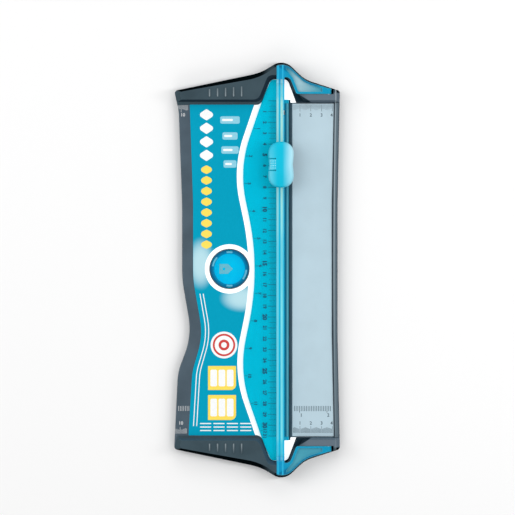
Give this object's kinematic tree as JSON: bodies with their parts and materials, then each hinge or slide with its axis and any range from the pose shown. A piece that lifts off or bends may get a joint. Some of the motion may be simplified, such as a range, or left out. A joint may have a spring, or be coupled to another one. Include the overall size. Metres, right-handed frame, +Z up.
{
  "type": "paper trimmer",
  "caption": "Sliding paper trimmer: a long charcoal bed with bow-shaped ends, a see-through blue ruler arm that lifts, a pressed-down blade slider on its rail and a round spare-blade store.",
  "frame": {"origin": "on the table, under the middle of the trimmer's outline", "axes": "+X across it, from the wide bed to the hinge side; +Y along the cut, towards the head; +Z up from the table"},
  "size_m": [0.1533, 0.384, 0.0327],
  "materials": {
    "charcoal": "fine matt moulding",
    "plate_grey": "satin",
    "mat_dark": "matt",
    "card": "coated print, teal and white",
    "cup_cyan": "satin",
    "blade_steel": "ground",
    "foot_rubber": "matt",
    "fastener_steel": "plated",
    "spring_steel": "drawn wire",
    "clear_blue": "see-through, polished",
    "wing_blue": "see-through, polished",
    "lid_blue": "see-through, polished",
    "carriage_grey": "satin",
    "slider_cyan": "glossy"
  },
  "bodies": {
    "base": {"base_tray": "charcoal", "head_end_block": "charcoal", "foot_end_block": "charcoal", "side_scale_plate": "plate_grey", "cutting_mat": "mat_dark", "bed_card": "card", "storage_cup": "cup_cyan", "spare_blade": "blade_steel", "rubber_feet": "foot_rubber", "base_screws": "fastener_steel", "head_hinge_pin": "fastener_steel", "foot_hinge_pin": "fastener_steel"},
    "ruler_arm": {"ruler": "clear_blue", "head_wing": "wing_blue", "foot_wing": "wing_blue"},
    "carriage": {"carriage_plate": "carriage_grey", "head_glide_shoe": "carriage_grey", "foot_glide_shoe": "carriage_grey"},
    "cutter_head": {"slider_cap": "slider_cyan", "blade_holder": "carriage_grey", "blade_clamp": "carriage_grey", "cutting_blade": "blade_steel", "blade_pin": "fastener_steel", "head_return_spring": "spring_steel", "foot_return_spring": "spring_steel"},
    "lid": {"storage_lid": "lid_blue"}
  },
  "joints": [
    {"name": "arm_lift", "type": "hinge", "parent": "base", "child": "ruler_arm", "pos_m": [0.0662, 0, 0.0163], "axis": [0, 1, 0], "range_deg": [0, 80]},
    {"name": "slider_travel", "type": "slide", "parent": "ruler_arm", "child": "carriage", "axis": [0, 1, 0], "range_m": [-0.2515, 0.0575]},
    {"name": "cutter_press", "type": "slide", "parent": "carriage", "child": "cutter_head", "axis": [0, 0, -1], "range_m": [0, 0.003], "stiffness_N_per_m": 900, "springref_m": -0.001, "deforming": ["head_return_spring", "foot_return_spring"]},
    {"name": "lid_lift", "type": "slide", "parent": "base", "child": "lid", "axis": [0, 0, 1], "range_m": [0, 0.03]}
  ]
}
